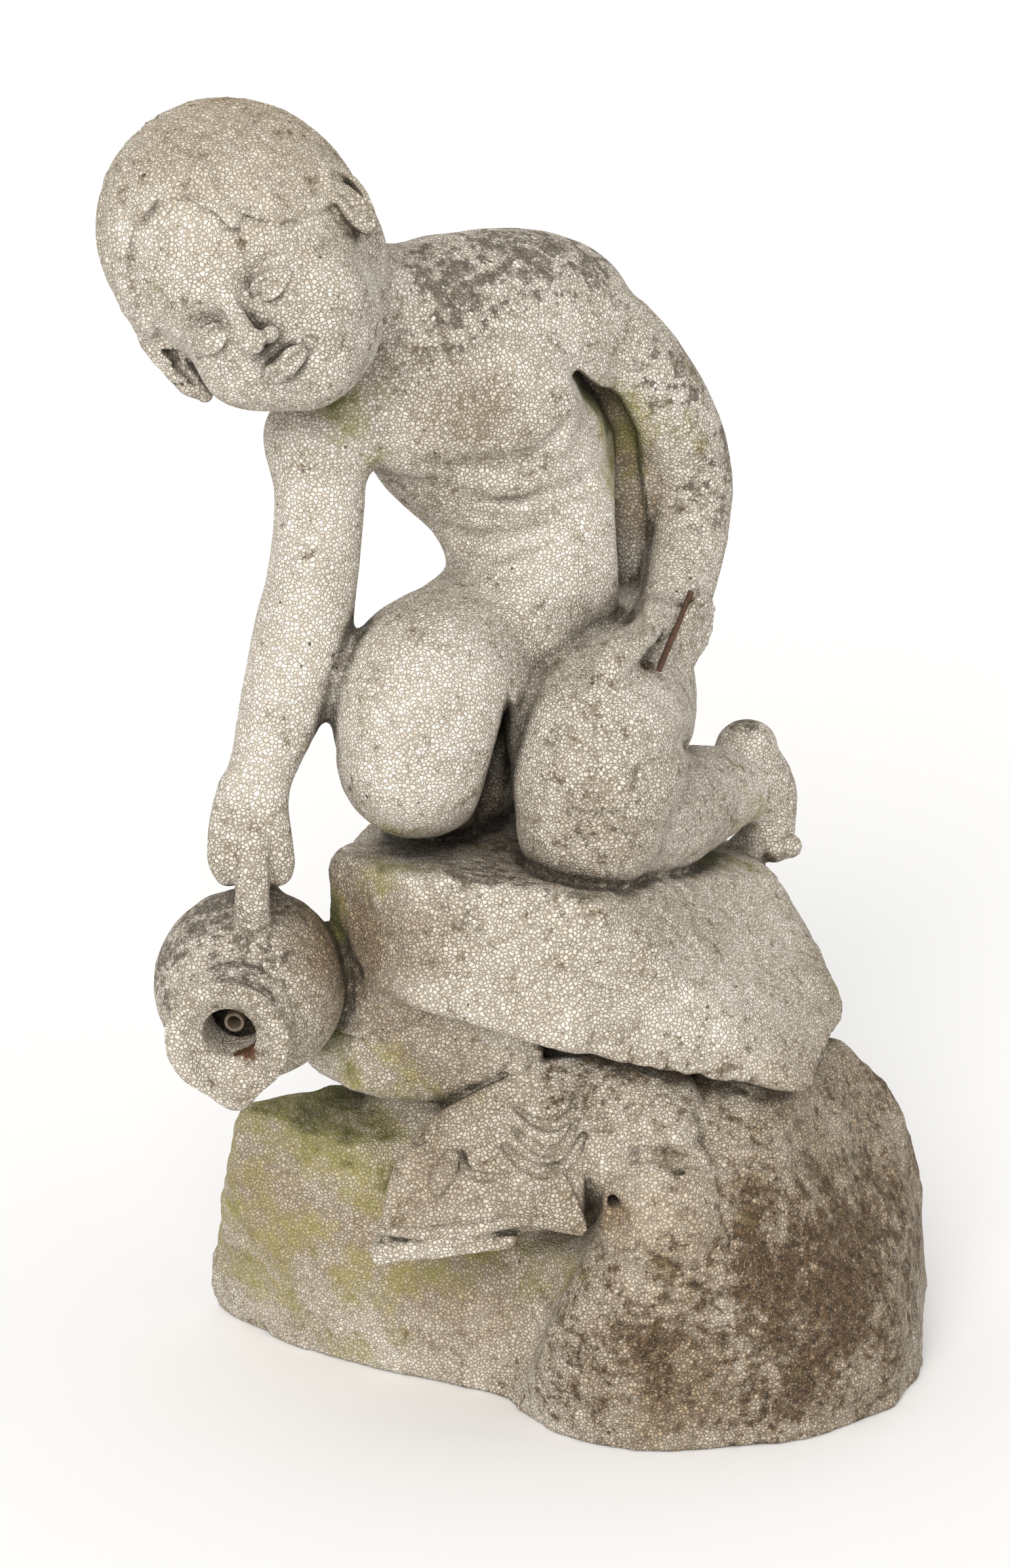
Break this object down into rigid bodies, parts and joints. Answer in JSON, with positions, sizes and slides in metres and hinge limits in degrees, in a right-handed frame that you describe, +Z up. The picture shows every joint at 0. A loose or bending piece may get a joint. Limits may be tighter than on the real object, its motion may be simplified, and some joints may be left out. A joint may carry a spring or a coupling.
{
  "type": "garden fountain statue",
  "caption": "Weathered stone garden fountain figure: a kneeling putto tips a hollow jug from a rock, above a carved fish head, with a flat underside.",
  "frame": {"origin": "on the flat underside, under the middle of the statue", "axes": "+Z up, the viewer of the picture stands towards -Y, +X to the viewer's right"},
  "size_m": [0.5844, 0.4278, 0.9273],
  "materials": {
    "weathered_stone": "rough, grainy, with lichen, moss and dirt",
    "old_pipe_metal": "dull, oxidised",
    "rusty_iron": "rusty"
  },
  "bodies": {
    "root": {"putto_statue": "weathered_stone", "jug_water_pipe": "old_pipe_metal", "hand_dowel": "rusty_iron"}
  },
  "joints": []
}
